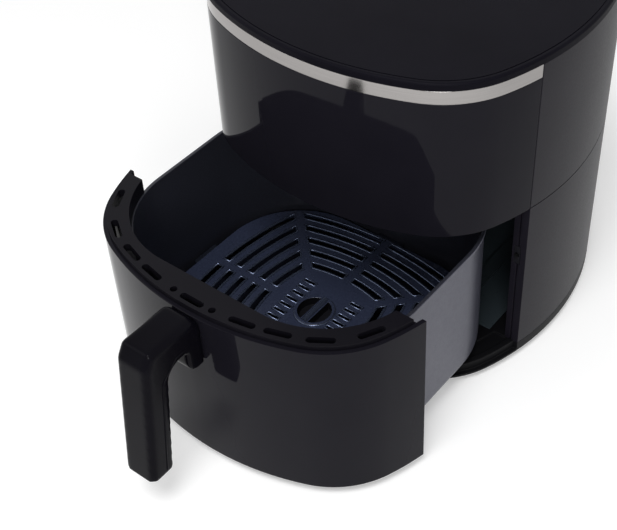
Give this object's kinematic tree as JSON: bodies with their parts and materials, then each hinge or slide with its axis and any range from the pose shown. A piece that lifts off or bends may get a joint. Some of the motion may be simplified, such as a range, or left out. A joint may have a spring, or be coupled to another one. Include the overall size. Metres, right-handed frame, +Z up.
{
  "type": "air fryer",
  "caption": "Countertop air fryer with a gloss front, a sliding basket drawer with a bent handle, a lift-out crisper plate and a fan-driven heater above the cavity.",
  "frame": {"origin": "on the floor under the middle of the part, with its drawer open as it is stored", "axes": "+Z up, +Y towards the back, -Y towards the handle, +X to the right as seen from the front"},
  "size_m": [0.27, 0.4634, 0.2721],
  "materials": {
    "matte_black_plastic": "matte",
    "black_rubber": "matte",
    "zinc_steel": "satin",
    "slippery_plastic": "satin",
    "dark_coated_steel": "satin",
    "gloss_black_plastic": "gloss",
    "satin_silver_metal": "satin",
    "slate_matte_plastic": "matte",
    "bright_steel_sheet": "satin",
    "white_ceramic": "gloss",
    "dark_element_steel": "satin",
    "motor_steel": "satin",
    "bearing_bronze": "satin",
    "green_circuit_board": "satin",
    "smoked_display_plastic": "gloss",
    "component_plastic": "matte",
    "fan_aluminium": "satin",
    "non_stick_coated_steel": "satin",
    "satin_black_plastic": "satin"
  },
  "bodies": {
    "housing": {"base_tray": "matte_black_plastic", "rubber_feet": "black_rubber", "foot_screws": "zinc_steel", "runner_rails": "slippery_plastic", "lower_housing": "matte_black_plastic", "cavity_liner": "dark_coated_steel", "cavity_roof": "dark_coated_steel", "upper_housing": "matte_black_plastic", "rear_grille": "matte_black_plastic", "front_panel": "gloss_black_plastic", "trim_band": "satin_silver_metal", "top_cover": "slate_matte_plastic", "cord_gland": "black_rubber", "heat_reflector": "bright_steel_sheet", "ceramic_bushes": "white_ceramic", "heating_element": "dark_element_steel", "motor_bridge": "bright_steel_sheet", "fan_motor": "motor_steel", "motor_bearings": "bearing_bronze", "motor_screws": "zinc_steel", "temperature_sensor": "bright_steel_sheet", "thermal_cutout": "bright_steel_sheet", "display_carrier": "slippery_plastic", "display_board": "green_circuit_board", "display_module": "smoked_display_plastic", "power_board": "green_circuit_board", "power_components": "component_plastic", "drawer_switch": "component_plastic"},
    "fan_rotor": {"hot_air_fan": "fan_aluminium", "cooling_fan": "fan_aluminium", "motor_shaft": "zinc_steel"},
    "plunger": {"switch_plunger": "slippery_plastic"},
    "drawer": {"drawer_front": "gloss_black_plastic", "drawer_bracket": "bright_steel_sheet", "basket": "non_stick_coated_steel", "drawer_frame": "matte_black_plastic", "handle": "satin_black_plastic", "handle_screws": "zinc_steel"},
    "crisper": {"crisper_plate": "non_stick_coated_steel", "plate_bumpers": "black_rubber", "plate_grip": "satin_black_plastic"}
  },
  "joints": [
    {"name": "drawer_slide", "type": "slide", "parent": "housing", "child": "drawer", "axis": [0, 1, 0], "range_m": [-0.05, 0.1235]},
    {"name": "plate_lift", "type": "slide", "parent": "drawer", "child": "crisper", "axis": [0, 0, 1], "range_m": [0, 0.06]},
    {"name": "fan_spin", "type": "hinge", "parent": "housing", "child": "fan_rotor", "pos_m": [0, 0.07875, 0.2], "axis": [0, 0, 1], "continuous": true},
    {"name": "plunger_push", "type": "slide", "parent": "housing", "child": "plunger", "axis": [0, 1, 0], "range_m": [0, 0.0015], "stiffness_N_per_m": 200}
  ]
}
